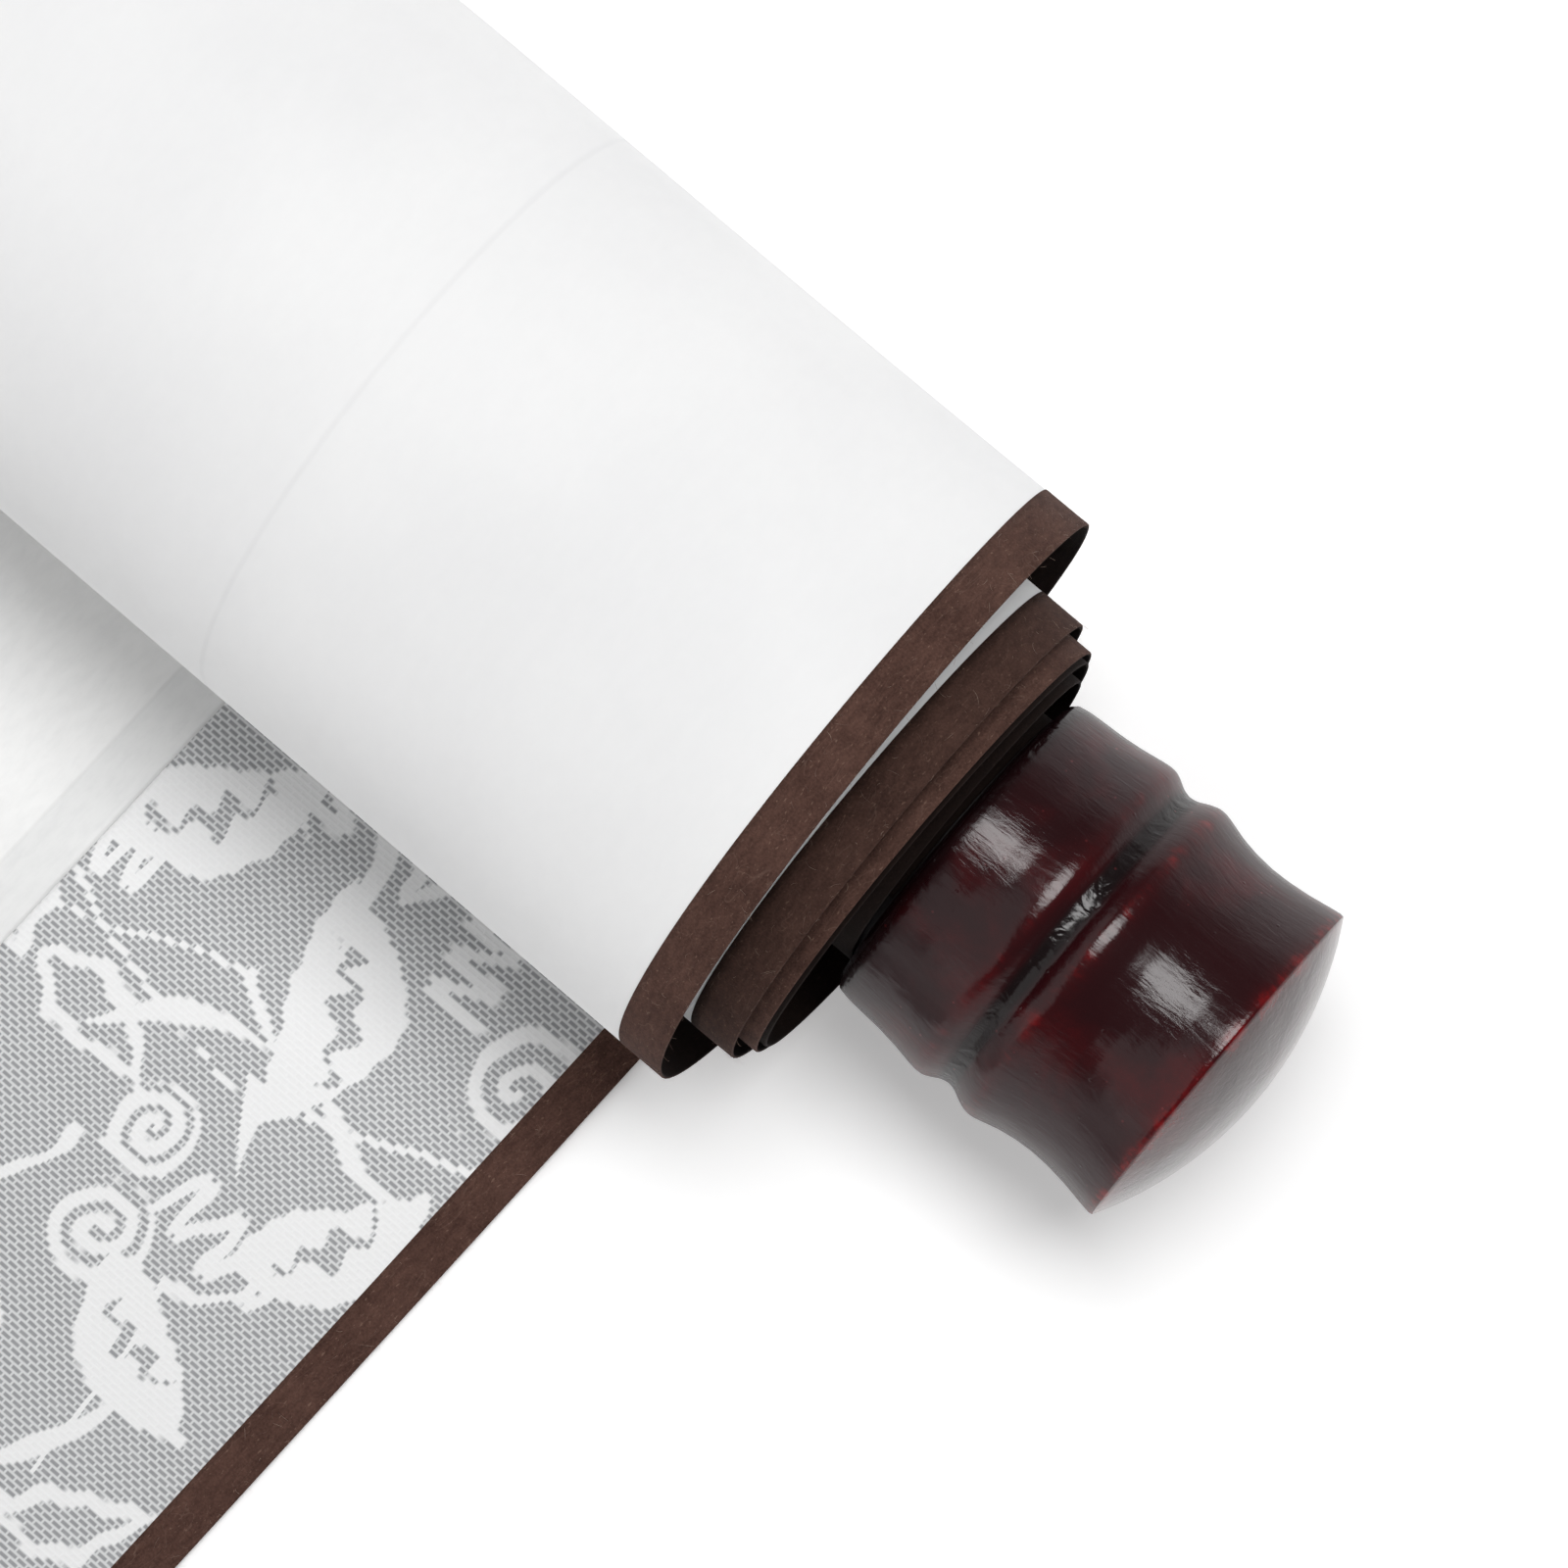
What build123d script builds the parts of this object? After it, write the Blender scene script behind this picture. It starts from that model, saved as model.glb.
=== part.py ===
"""Blank hanging scroll, partly unrolled.

A laminated paper sheet lies face up.  Its lower end is wound, face inwards, round a wooden
roller with two turned and lacquered knobs; its upper end is folded round a half-round batten
with two wire eyes.  The winding is loose: the outer turn stands off the inner ones, every turn
sags onto the one below, and the edges creep along the roller from turn to turn, so that the
roll telescopes towards its right-hand knob.

Frame, in millimetres: +X along the roller towards the right-hand knob, +Z up, and the flat
part of the sheet runs towards -Y.  The origin lies on the underside of the sheet, below the
middle of the outer turn, midway across the sheet.
"""
from build123d import *
from math import cos, radians, sin, sqrt, tan
import os

# ---- sheet -------------------------------------------------------------------------------
sheet_width = 330.0
picture_width = 246.0
edging_width = 3.9          # what shows of each edge strip, on the face and on the back
edging_setback = 0.8        # the edging's front leg stops this far from the batten
paper = 0.2                 # thickness of each paper: backing, face papers and edging
flat_length = 290.0         # from the roll to the batten
picture_flat_length = 190.0  # how much of the picture paper lies flat
skew = 1.55                 # degrees between the flat sheet's edges and the square across the roller

# ---- winding -----------------------------------------------------------------------------
flat_spot = 2.0             # the outer turn lies flat this far past the middle of the roll
outer_radius = 25.2
turn_gap = 0.15             # least air between turns where they rest on each other
# Each half turn after the outer one: how much smaller its radius is than the outer one's,
# and where its edge has crept to along the roller at its end.  Lower and upper ones alternate.
half_turns = [
    (2.7, 5.5), (4.9, 6.3), (5.4, 7.2), (6.1, 7.35),
    (6.5, 7.5), (6.9, 7.6), (7.5, 7.9),
]
outer_side_creep = 1.2      # the outer turn's creep on its far side
outer_end_creep = 3.35      # and at its end
wrap_creep = 8.0            # creep of the part that is glued round the roller
wrap_end_angle = 130.0      # the sheet ends this far round the roller's upper half
picture_half_turns = 6      # the picture paper ends with this one

# ---- roller and knobs --------------------------------------------------------------------
roller_radius = 11.0
roller_y = 2.3              # where the roller lies in the loose turns
tenon_radius = 6.0
tenon_length = 15.0
tenon_clearance = 0.1
knob_gaps = {-1: 1.0, 1: 0.2}  # from the sheet's edge to the left and right knob's shoulder
knob_rim_length = 25.2      # shoulder to rim
knob_dome = 3.8
knob_neck_radius = 13.0
knob_start_radius = 13.8
knob_bead_radius = 14.55
knob_groove_radius = 13.8
knob_ring_radius = 14.5
knob_waist_radius = 13.6
knob_rim_radius = 14.35

# ---- batten and eyes ---------------------------------------------------------------------
batten_width = 12.0
batten_height = 8.0
eye_wire_radius = 0.45
eye_inner_radius = 2.2
eye_shank = 4.5             # length of the shank inside the batten
eye_clearance = 0.05
eye_spacing = 165.0

# ---- values that follow ------------------------------------------------------------------
half_width = sheet_width / 2
half_picture = picture_width / 2
laminate = 2 * paper              # backing and face paper
bound_edge = 3 * paper            # the same with the edging's front leg on it
layer_step = bound_edge + turn_gap
wrap_radius = roller_radius + bound_edge
slant = 1 / cos(radians(skew))    # a width across the sheet, measured along the roller
side_margin = 1.0                 # the edges run square this close to the sides of a turn
reach = 3 * sheet_width           # longer than anything across the sheet
tall = 4 * outer_radius           # higher than anything


def sink(y, radius, below):
    """How high the centre of a lower half turn lies when it rests on the one below it."""
    below_y, below_z, below_radius = below
    play = below_radius - layer_step - radius
    return below_z - sqrt(play ** 2 - (y - below_y) ** 2)


def plan_winding():
    """The winding as the arcs and upright walls that the outside of the sheet follows.

    An arc is ("arc", centre y, centre z, radius, start angle, sweep, creep at start, at end),
    with angles from +Y towards +Z.  A wall is ("wall", y, low z, high z, side, creep), where
    side is +1 on the far side of the roll and -1 on the near side.
    """
    start_creep = flat_spot * tan(radians(skew))
    corner = outer_radius - flat_spot
    steps = [
        ("arc", flat_spot, corner, corner, -90, 90, start_creep, outer_side_creep),
        ("wall", outer_radius, corner, outer_radius, 1, outer_side_creep),
        ("arc", 0, outer_radius, outer_radius, 0, 180, outer_side_creep, outer_end_creep),
    ]
    y, z, creep, below = -outer_radius, outer_radius, outer_end_creep, None
    for index, (tighter, end_creep) in enumerate(half_turns):
        radius = outer_radius - tighter
        if index % 2 == 0:
            centre, start = y + radius, 180
            sunk = sink(centre, radius, below) if below else layer_step + radius
            steps.append(("wall", y, sunk, z, -1, creep))
            z = sunk
            below = (centre, z, radius)
        else:
            centre, start = y - radius, 0
        steps.append(("arc", centre, z, radius, start, 180, creep, end_creep))
        y, creep = 2 * centre - y, end_creep
    # the last upper half turn comes in to the roller, and the sheet is glued round that
    roller_z = sink(roller_y, wrap_radius, below)
    near_side = roller_y - wrap_radius
    radius = (y - near_side) / 2
    steps.append(("arc", y - radius, z, radius, 0, 180, creep, wrap_creep))
    steps.append(("wall", near_side, roller_z, z, -1, wrap_creep))
    for start, sweep in ((180, 180), (0, wrap_end_angle)):
        steps.append(
            ("arc", roller_y, roller_z, wrap_radius, start, sweep, wrap_creep, wrap_creep)
        )
    return steps, roller_z


winding, roller_z = plan_winding()


def band(y_from, y_to, creep_from, creep_to, left, right):
    """A tall solid over the part of the sheet between two lines along it, on one arc.

    Seen from above its sides run square at y_from and y_to and slant in between."""
    way = 1 if y_to > y_from else -1
    ys = [y_from - way * tall, y_from + way * side_margin]
    ys += [y_to - way * side_margin, y_to + way * tall]
    creeps = [creep_from, creep_from, creep_to, creep_to]
    right_side = [(right * slant + c, y) for c, y in zip(creeps, ys)]
    left_side = [(left * slant + c, y) for c, y in zip(creeps, ys)]
    outline = Polyline(*right_side, *reversed(left_side), close=True)
    return Pos(Z=-tall) * extrude(make_face(outline), 3 * tall)


def arc_piece(step, outer, inner, left, right):
    """One arc of the winding, between two depths into the sheet and two lines along it."""
    _, y, z, radius, start, sweep, creep_from, creep_to = step
    outside = CenterArc((y, z), radius - outer, start, sweep)
    inside = CenterArc((y, z), radius - inner, start, sweep)
    ends = Line(outside @ 0, inside @ 0) + Line(outside @ 1, inside @ 1)
    section = Plane.YZ * make_face(outside + inside + ends)
    solid = Pos(X=-reach / 2) * extrude(section, reach, dir=(1, 0, 0))
    y_from, y_to = (outside @ 0).X, (outside @ 1).X
    return solid & band(y_from, y_to, creep_from, creep_to, left, right)


def wall_piece(step, outer, inner, left, right):
    """One upright wall of the winding, between the same limits."""
    _, y, low, high, side, creep = step
    middle = ((left + right) / 2 * slant + creep, y - side * (outer + inner) / 2, (low + high) / 2)
    return Pos(*middle) * Box((right - left) * slant, inner - outer, high - low)


def flat_piece(outer, inner, left, right, far, near=None):
    """The flat part of the sheet from the end of its flat spot, or from near, to far."""
    start = -sheet_width / 4 if near is None else near
    slab = Pos((left + right) / 2, -(start + far) / 2, (outer + inner) / 2) * Box(
        right - left, far - start, inner - outer
    )
    slab = Rot(Z=-skew) * slab
    return slab & (Pos(0, flat_spot - reach / 2, 0) * Box(reach, reach, tall))


def wound(steps, outer, inner, left, right):
    """The pieces of one strip of paper along those steps of the winding."""
    makers = {"arc": arc_piece, "wall": wall_piece}
    return [makers[step[0]](step, outer, inner, left, right) for step in steps]


def joined(pieces):
    """The pieces as one clean solid."""
    return (pieces[0] + pieces[1:]).clean()


def picture_steps():
    """The steps of the winding that the picture paper covers, and the rest."""
    arcs = 0
    for index, step in enumerate(winding):
        arcs += step[0] == "arc"
        if arcs == 2 + picture_half_turns:
            return winding[: index + 1], winding[index + 1:]
    return winding, []


# ---- batten, in the flat sheet's own directions -------------------------------------------
batten_middle = flat_length + batten_width / 2
batten_radius = (batten_width ** 2 / 4 + batten_height ** 2) / (2 * batten_height)
batten_centre_z = laminate + batten_height - batten_radius
eye_z = batten_centre_z + eye_wire_radius
eye_ring_radius = eye_inner_radius + eye_wire_radius


def on_flat(shape):
    """Turns a shape made square to the frame with the flat sheet."""
    return Rot(Z=-skew) * shape


def half_round(radius, floor, length):
    """A bar of half-round section along X, above the given height."""
    bar = Pos(0, -batten_middle, batten_centre_z) * Rot(Y=90) * Cylinder(radius, length)
    return bar & (Pos(0, -batten_middle, floor + tall / 2) * Box(reach, 4 * radius, tall))


def eye_shank_at(x, radius, from_y, to_y):
    """A straight wire along Y at the height of the eyes."""
    return Pos(x, (from_y + to_y) / 2, eye_z) * Rot(X=90) * Cylinder(radius, abs(to_y - from_y))


def make_backing_paper():
    left, right = edging_width - half_width, half_width - edging_width
    pieces = [flat_piece(0, paper, left, right, flat_length + batten_width)]
    return joined(pieces + wound(winding, 0, paper, left, right))


def make_picture_paper():
    pieces = [flat_piece(paper, laminate, -half_picture, half_picture, picture_flat_length)]
    covered, _ = picture_steps()
    return joined(pieces + wound(covered, paper, laminate, -half_picture, half_picture))


def make_damask_border():
    left, right = paper - half_width, half_width - paper
    covered, bare = picture_steps()
    pieces = [
        flat_piece(paper, laminate, left, right, flat_length + batten_width, picture_flat_length)
    ]
    for low, high in ((left, -half_picture), (half_picture, right)):
        pieces.append(flat_piece(paper, laminate, low, high, picture_flat_length))
        pieces += wound(covered, paper, laminate, low, high)
    pieces += wound(bare, paper, laminate, left, right)
    sleeve = half_round(batten_radius + paper, paper, right - left)
    sleeve -= half_round(batten_radius, laminate, reach)
    for x in (-eye_spacing / 2, eye_spacing / 2):
        far_y = -batten_middle - batten_radius
        sleeve -= eye_shank_at(x, eye_wire_radius + eye_clearance, far_y + 1, far_y - 1)
    return joined(pieces + [on_flat(sleeve)])


def make_edge_strip(side):
    """The strip of paper folded round one edge: back leg, fold and front leg."""
    far = flat_length + batten_width
    legs = [
        (0, paper, half_width - edging_width, far),
        (paper, laminate, half_width - paper, far),
        (laminate, bound_edge, half_width - edging_width, flat_length - edging_setback),
    ]
    pieces = []
    for outer, inner, near, leg_end in legs:
        left, right = (near, half_width) if side > 0 else (-half_width, -near)
        pieces.append(flat_piece(outer, inner, left, right, leg_end))
        pieces += wound(winding, outer, inner, left, right)
    return joined(pieces)


def shoulder_x(side):
    return side * (half_width * slant + knob_gaps[side]) + wrap_creep


def make_roller():
    """The dowel, with a tenon for a knob at each end."""
    left, right = shoulder_x(-1), shoulder_x(1)
    middle = (left + right) / 2
    dowel = Cylinder(roller_radius, right - left) + Cylinder(
        tenon_radius, right - left + 2 * tenon_length
    )
    return Pos(middle, roller_y, roller_z) * Rot(Y=90) * dowel


def make_knob(side):
    """A turned knob: shoulder, barrel, bead, groove, ring, waist, flared rim and domed end."""
    rim = knob_rim_length
    neck = knob_start_radius - knob_neck_radius
    turned = Spline(
        (neck, knob_start_radius),
        (0.17 * rim, knob_start_radius + 0.2),
        (0.335 * rim, knob_bead_radius),
        (0.385 * rim, (knob_bead_radius + knob_groove_radius) / 2),
        (0.435 * rim, knob_groove_radius),
        (0.485 * rim, (knob_ring_radius + knob_groove_radius) / 2),
        (0.535 * rim, knob_ring_radius),
        (0.75 * rim, knob_waist_radius),
        (rim, knob_rim_radius),
        tangents=[(1, 0), (1, 0.22)],
    )
    shoulder = CenterArc((neck, knob_neck_radius), neck, 90, 90)
    dome_radius = (knob_rim_radius ** 2 + knob_dome ** 2) / (2 * knob_dome)
    part_way = radians(15)
    dome_middle = (rim + knob_dome - dome_radius * (1 - cos(part_way)), dome_radius * sin(part_way))
    dome = ThreePointArc((rim, knob_rim_radius), dome_middle, (rim + knob_dome, 0))
    closing = Polyline((rim + knob_dome, 0), (0, 0), (0, knob_neck_radius))
    knob = revolve(make_face(shoulder + turned + dome + closing), Axis.X)
    socket = Pos(X=(tenon_length + tenon_clearance) / 2) * Rot(Y=90) * Cylinder(
        tenon_radius + tenon_clearance, tenon_length + tenon_clearance
    )
    knob -= socket
    if side < 0:
        knob = Rot(Z=180) * knob
    return Pos(shoulder_x(side), roller_y, roller_z) * knob


def make_batten():
    """The half-round batten, drilled for the eyes from its far side."""
    batten = half_round(batten_radius, laminate, sheet_width)
    for x in (-eye_spacing / 2, eye_spacing / 2):
        far_y = -batten_middle - batten_radius
        batten -= eye_shank_at(
            x, eye_wire_radius + eye_clearance, far_y + eye_shank + eye_clearance, far_y - 1
        )
    return on_flat(batten)


def make_eye(side):
    """A ring of wire on a shank that is driven into the batten."""
    x = side * eye_spacing / 2
    far_y = -batten_middle - batten_radius
    ring_y = far_y - paper - eye_ring_radius - eye_wire_radius
    ring = Pos(x, ring_y, eye_z) * Rot(Y=90) * Torus(eye_ring_radius, eye_wire_radius)
    shank = eye_shank_at(x, eye_wire_radius, far_y + eye_shank, ring_y + eye_ring_radius)
    return on_flat((ring + shank).clean())


parts = {
    "backing_paper": make_backing_paper(),
    "picture_paper": make_picture_paper(),
    "damask_border": make_damask_border(),
    "edge_strip_left": make_edge_strip(-1),
    "edge_strip_right": make_edge_strip(1),
    "roller_rod": make_roller(),
    "knob_left": make_knob(-1),
    "knob_right": make_knob(1),
    "top_batten": make_batten(),
    "hanging_eye_left": make_eye(-1),
    "hanging_eye_right": make_eye(1),
}

os.makedirs("parts", exist_ok=True)
for name, part in parts.items():
    export_step(part, f"parts/{name}.step")
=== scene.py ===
# A blank hanging scroll, partly unrolled: laminated papers with a damask border and folded
# edge strips, wound loosely on a roller with two lacquered knobs.  Metres throughout.
import math

import bpy
import numpy as np
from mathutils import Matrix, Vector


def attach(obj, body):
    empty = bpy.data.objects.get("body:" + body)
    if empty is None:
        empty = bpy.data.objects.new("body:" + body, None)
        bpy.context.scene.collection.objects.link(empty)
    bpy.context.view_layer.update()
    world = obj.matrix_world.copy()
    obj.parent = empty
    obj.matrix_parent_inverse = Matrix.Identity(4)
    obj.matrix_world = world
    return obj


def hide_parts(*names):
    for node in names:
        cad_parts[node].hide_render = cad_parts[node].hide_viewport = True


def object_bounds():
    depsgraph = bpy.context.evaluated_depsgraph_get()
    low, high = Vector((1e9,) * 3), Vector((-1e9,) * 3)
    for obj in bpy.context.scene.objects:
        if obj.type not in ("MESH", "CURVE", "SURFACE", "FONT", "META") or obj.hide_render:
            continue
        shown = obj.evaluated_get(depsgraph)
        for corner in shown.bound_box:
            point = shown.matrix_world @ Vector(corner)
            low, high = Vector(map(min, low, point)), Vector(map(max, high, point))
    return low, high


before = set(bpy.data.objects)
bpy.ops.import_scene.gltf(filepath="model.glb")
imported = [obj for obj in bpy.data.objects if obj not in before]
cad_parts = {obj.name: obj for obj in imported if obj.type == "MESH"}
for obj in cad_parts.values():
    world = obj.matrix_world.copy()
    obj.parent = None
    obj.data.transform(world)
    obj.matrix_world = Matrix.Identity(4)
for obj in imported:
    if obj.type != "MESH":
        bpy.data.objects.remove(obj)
cadLow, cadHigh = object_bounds()
mm = 0.001
print("frame loaded")

# How the sheet is cut and wound, the same plan as the frame's.
sheet = {
    "width": 330 * mm,
    "picture": 246 * mm,
    "paper": 0.2 * mm,
    "flat": 290 * mm,
    "pictureFlat": 190 * mm,
    "skew": math.radians(1.55),
    "flatSpot": 2 * mm,
    "outerRadius": 25.2 * mm,
    "layerStep": 0.75 * mm,
    "rollerRadius": 11 * mm,
    "rollerY": 2.3 * mm,
    "wrapTurn": math.radians(310),  # how much of the roller the sheet's end goes round
    "softBend": 1.6 * mm,       # how far a change of curve is spread along the sheet
    "softCreep": 9 * mm,        # the same for the creep of the edges
    "pressed": 0.5,             # how much thinner the sheet is pressed at its very edges
    "pressedWidth": 7 * mm,
}
# Each half turn after the outer one, in millimetres: how much tighter it is than the outer
# one, and the creep of its edge at its end.
halfTurns = [(2.7, 5.5), (4.9, 6.3), (5.4, 7.2), (6.1, 7.35), (6.5, 7.5), (6.9, 7.6), (7.5, 7.9)]
outerCreep = (1.2, 3.35)
wrapCreep = 8.0
pictureHalfTurns = 6


def arcLine(y, z, radius, start, sweep):
    # points every half millimetre on a circle: centre + radius * (cos, sin)
    count = max(8, int(abs(sweep) * radius / (0.5 * mm)))
    angle = start + np.linspace(0, sweep, count)
    return np.stack([y + radius * np.cos(angle), z + radius * np.sin(angle)], 1)


def planWinding():
    # half circles joined by short upright walls; each lower half rests on the one below it
    halfCircle = math.pi
    spot, outer, step = sheet["flatSpot"], sheet["outerRadius"], sheet["layerStep"]
    corner = outer - spot
    start = spot * math.tan(sheet["skew"])
    lines = [arcLine(spot, corner, corner, -halfCircle / 2, halfCircle / 2)]
    marks = [(0, start)]
    length = halfCircle / 2 * corner + spot
    marks.append((length, outerCreep[0] * mm))
    lines.append(arcLine(0, outer, outer, 0, halfCircle))
    length += halfCircle * outer
    marks.append((length, outerCreep[1] * mm))
    y, z, below, ends = -outer, outer, None, [length]
    for index, (tighter, creep) in enumerate(halfTurns):
        radius = outer - tighter * mm
        if index % 2 == 0:
            centre = y + radius
            if below:
                play = below[2] - step - radius
                sunk = below[1] - math.sqrt(play ** 2 - (centre - below[0]) ** 2)
            else:
                sunk = step + radius
            length += z - sunk
            z = sunk
            below = (centre, z, radius)
            lines.append(arcLine(centre, z, radius, halfCircle, halfCircle))
        else:
            centre = y - radius
            lines.append(arcLine(centre, z, radius, 0, halfCircle))
        length += halfCircle * radius
        marks.append((length, creep * mm))
        ends.append(length)
        y = 2 * centre - y
    wrap = sheet["rollerRadius"] + 3 * sheet["paper"]
    play = below[2] - step - wrap
    rollerZ = below[1] - math.sqrt(play ** 2 - (sheet["rollerY"] - below[0]) ** 2)
    near = sheet["rollerY"] - wrap
    radius = (y - near) / 2
    lines.append(arcLine(y - radius, z, radius, 0, halfCircle))
    lines.append(arcLine(sheet["rollerY"], rollerZ, wrap, halfCircle, sheet["wrapTurn"]))
    length += halfCircle * radius + z - rollerZ + wrap * sheet["wrapTurn"]
    marks.append((length, wrapCreep * mm))
    return np.concatenate(lines), np.array(marks), ends, rollerZ


def soften(values, spread, step):
    # a running weighted mean along the line; the ends are held by reflecting about them
    reach = int(3 * spread / step) + 1
    weight = np.exp(-0.5 * (np.arange(-reach, reach + 1) * step / spread) ** 2)
    before = 2 * values[0] - values[reach:0:-1]
    after = 2 * values[-1] - values[-2:-reach - 2:-1]
    return np.convolve(np.concatenate([before, values, after]), weight / weight.sum(), "valid")


points, creepMarks, turnEnds, rollerZ = planWinding()
gap = np.r_[0, np.cumsum(np.hypot(*np.diff(points, axis=0).T))]
keep = np.r_[True, np.diff(gap) > 1e-6]
stride = 0.5 * mm
along = np.arange(0, gap[-1], stride)
lineY = soften(np.interp(along, gap[keep], points[keep, 0]), sheet["softBend"], stride)
lineZ = soften(np.interp(along, gap[keep], points[keep, 1]), sheet["softBend"], stride)
lineCreep = soften(np.interp(along, creepMarks[:, 0], creepMarks[:, 1]), sheet["softCreep"], stride)
woundLength = along[-1]
slant = 1 / math.cos(sheet["skew"])


def waves(across, run, size, seed):
    # a few long crossing sine waves: size * mean of sin(a * across + b * run + c)
    dice = np.random.default_rng(seed)
    total = 0
    for _ in range(6):
        pitchA, pitchB = dice.uniform(0.05, 0.16, 2)
        total = total + np.sin(2 * math.pi * (across / pitchA + run / pitchB * dice.choice([-1, 1]))
                               + dice.uniform(0, 6.28))
    return size * total / 6


def lay(across, run, depth):
    # across: from the middle of the sheet to the right; run: along it, 0 where the flat part
    # ends and negative on the flat; depth: into the sheet from its back.  Point on the wound
    # line + depth * inward normal, with x = across / cos(skew) + creep.
    run, across, depth = np.broadcast_arrays(run, across, depth)
    nearEdge = np.clip(1 - (0.5 * sheet["width"] - np.abs(across)) / sheet["pressedWidth"], 0, 1)
    depth = depth * (1 - sheet["pressed"] * nearEdge * nearEdge * (3 - 2 * nearEdge))
    onRoll = np.clip(run, 0, woundLength)
    y, z, creep = (np.interp(onRoll, along, line) for line in (lineY, lineZ, lineCreep))
    tangentY = np.interp(onRoll, along, np.gradient(lineY, stride))
    tangentZ = np.interp(onRoll, along, np.gradient(lineZ, stride))
    size = np.hypot(tangentY, tangentZ)
    normalY, normalZ = -tangentZ / size, tangentY / size
    lift = waves(across, run, 0.1 * mm, 3) * np.clip(run / 0.03, 0, 1)
    lift = lift + (waves(across, run, 0.09 * mm, 5) + 0.09 * mm) * np.clip(-run / 0.04, 0, 1)
    edge = np.clip((np.abs(across) - 0.45 * sheet["width"]) / (0.05 * sheet["width"]), 0, 1) ** 2
    ripple = waves(across * 0 + 0.3, run * 1.6, 0.16 * mm, 8)
    lift = lift + edge * ripple * np.clip(run / 0.03, 0, 1)
    x = across * slant + creep
    y = y + normalY * (depth + lift)
    z = z + normalZ * (depth + lift)
    # the flat part runs back from the roll and ends square to its own edges
    share = np.clip(-run / (sheet["flat"] + sheet["flatSpot"]), 0, None)
    endY = -(sheet["flat"] + across * math.sin(sheet["skew"])) / math.cos(sheet["skew"])
    flatY = sheet["flatSpot"] + share * (endY - sheet["flatSpot"])
    flat = run < 0
    y = np.where(flat, flatY, y)
    z = np.where(flat, depth + lift, z)
    x = np.where(flat, across * slant + y * math.tan(sheet["skew"]), x)
    return np.stack([x, y, z], -1)


def meshFrom(name, parts, smooth=True):
    # joins (points, faces, uv) pieces into one mesh object
    verts, faces, uvs, base = [], [], [], 0
    for p, f, uv in parts:
        verts.append(p)
        faces.append(f + base)
        uvs.append(uv)
        base += len(p)
    verts, faces, uvs = np.concatenate(verts), np.concatenate(faces), np.concatenate(uvs)
    mesh = bpy.data.meshes.new(name)
    mesh.vertices.add(len(verts))
    mesh.vertices.foreach_set("co", verts.astype(np.float32).ravel())
    mesh.loops.add(faces.size)
    mesh.loops.foreach_set("vertex_index", faces.astype(np.int32).ravel())
    mesh.polygons.add(len(faces))
    mesh.polygons.foreach_set("loop_start", np.arange(0, faces.size, 4, dtype=np.int32))
    mesh.update(calc_edges=True)
    layer = mesh.uv_layers.new(name="Sheet")
    layer.data.foreach_set("uv", uvs[faces.ravel()].astype(np.float32).ravel())
    mesh.polygons.foreach_set("use_smooth", np.full(len(faces), smooth))
    piece = bpy.data.objects.new(name, mesh)
    bpy.context.scene.collection.objects.link(piece)
    return piece


def bandGrid(top, bottom, uvTop, uvBottom):
    # a closed band between two grids of points [row, column]: outside, inside, sides and ends
    rows, cols = top.shape[:2]
    loop = np.concatenate([top, bottom[:, ::-1]], 1)
    uvLoop = np.concatenate([uvTop, uvBottom[:, ::-1]], 1)
    ring = 2 * cols
    row, col = np.meshgrid(np.arange(rows - 1), np.arange(ring), indexing="ij")
    nextCol = (col + 1) % ring
    sides = np.stack([row * ring + col, row * ring + nextCol,
                      (row + 1) * ring + nextCol, (row + 1) * ring + col], -1).reshape(-1, 4)
    i = np.arange(cols - 1)
    cap = np.stack([i, ring - 1 - i, ring - 2 - i, i + 1], -1)
    faces = np.concatenate([sides, cap, cap[:, ::-1] + (rows - 1) * ring])
    return loop.reshape(-1, 3), faces, uvLoop.reshape(-1, 2)


def sheetBand(acrossTop, depthTop, acrossBottom, depthBottom, run):
    # a strip of paper between two lines across the section, carried along the sheet
    run = run[:, None]
    grids, uvs = [], []
    for across, depth in ((acrossTop, depthTop), (acrossBottom, depthBottom)):
        across = across if across.ndim == 2 else np.broadcast_to(across, (len(run), len(across)))
        depth = np.broadcast_to(depth, across.shape)
        grids.append(lay(across, run, depth))
        uvs.append(np.stack(np.broadcast_arrays(across, run), -1))
    return bandGrid(grids[0], grids[1], uvs[0], uvs[1])


def runSteps(start, end):
    # rows along the sheet: wide on the flat, close on the outer turn, looser further in
    flat = np.arange(start, min(end, 0), 5 * mm) if start < 0 else np.array([])
    outer = np.arange(max(start, 0), min(end, turnEnds[0]), 1.0 * mm)
    inner = np.arange(max(start, turnEnds[0]), end, 1.4 * mm)
    rows = np.r_[flat, outer, inner, end]
    return rows[np.r_[True, np.diff(rows) > 0.2 * mm]]


half = sheet["width"] / 2
halfPicture = sheet["picture"] / 2
paper = sheet["paper"]
batten = {"width": 12 * mm, "height": 8 * mm}
flatEnd = -(sheet["flat"] + sheet["flatSpot"])
sheetEnd = flatEnd - batten["width"]
pictureEnd = turnEnds[pictureHalfTurns]


def columns(low, high, count):
    # spaced across the sheet, closer together towards its edges
    t = np.linspace(0, 1, count)
    return low + (high - low) * (0.5 - 0.5 * np.cos(math.pi * t))


def makeBacking():
    across = columns(-half + 0.3 * mm, half - 0.3 * mm, 56)
    run = runSteps(sheetEnd, woundLength)
    band = sheetBand(across, 0 * mm, across, paper, run)
    return meshFrom("backing", [band])


def makePicture():
    across = columns(-halfPicture, halfPicture, 40)
    run = runSteps(-sheet["pictureFlat"], pictureEnd)
    return meshFrom("picture_sheet", [sheetBand(across, paper, across, 2 * paper, run)])


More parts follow.
